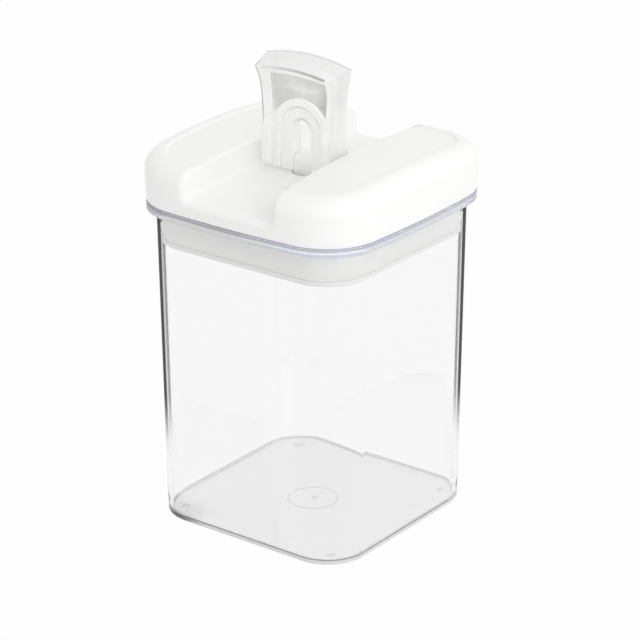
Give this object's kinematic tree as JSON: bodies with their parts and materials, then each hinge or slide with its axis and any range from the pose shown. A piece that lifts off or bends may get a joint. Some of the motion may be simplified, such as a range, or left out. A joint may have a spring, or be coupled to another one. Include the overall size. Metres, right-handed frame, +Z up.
{
  "type": "square storage canister with flip-lever lid",
  "caption": "Clear square storage canister with rounded corners and a white lid whose upright lever folds into a channel to squeeze a sealing band.",
  "frame": {"origin": "on the table under the centre of the canister", "axes": "+Z up; -Y towards the channel's wide front end, the way the lever falls; X across the channel"},
  "size_m": [0.1134, 0.1128, 0.2],
  "materials": {
    "clear_plastic": "clear moulded plastic, polished",
    "white_plastic": "white moulded plastic, satin",
    "plug_plastic": "white moulded plastic, satin",
    "silicone": "milky soft silicone",
    "spring_steel": "drawn steel wire",
    "lever_plastic": "clear moulded plastic, polished",
    "pin_steel": "ground steel"
  },
  "bodies": {
    "canister": {"canister_body": "clear_plastic"},
    "lid": {"lid_cover": "white_plastic", "lid_liner": "plug_plastic", "seal_ring": "silicone", "return_spring": "spring_steel"},
    "seal": {"seal_plate": "plug_plastic"},
    "lever": {"lever": "lever_plastic", "hinge_pin": "pin_steel"}
  },
  "joints": [
    {"name": "lid_lift", "type": "slide", "parent": "canister", "child": "lid", "axis": [0, 0, 1], "range_m": [0, 0.06]},
    {"name": "plate_lift", "type": "slide", "parent": "lid", "child": "seal", "axis": [0, 0, 1], "range_m": [0, 0.0026], "deforming": ["return_spring", "seal_ring"]},
    {"name": "lever_turn", "type": "hinge", "parent": "seal", "child": "lever", "pos_m": [0, -0.004, 0.15515], "axis": [1, 0, 0], "range_deg": [0, 90]}
  ],
  "couplings": [
    {"joint": "lever_turn", "follows": "plate_lift", "rad_per_m": 604.15}
  ]
}
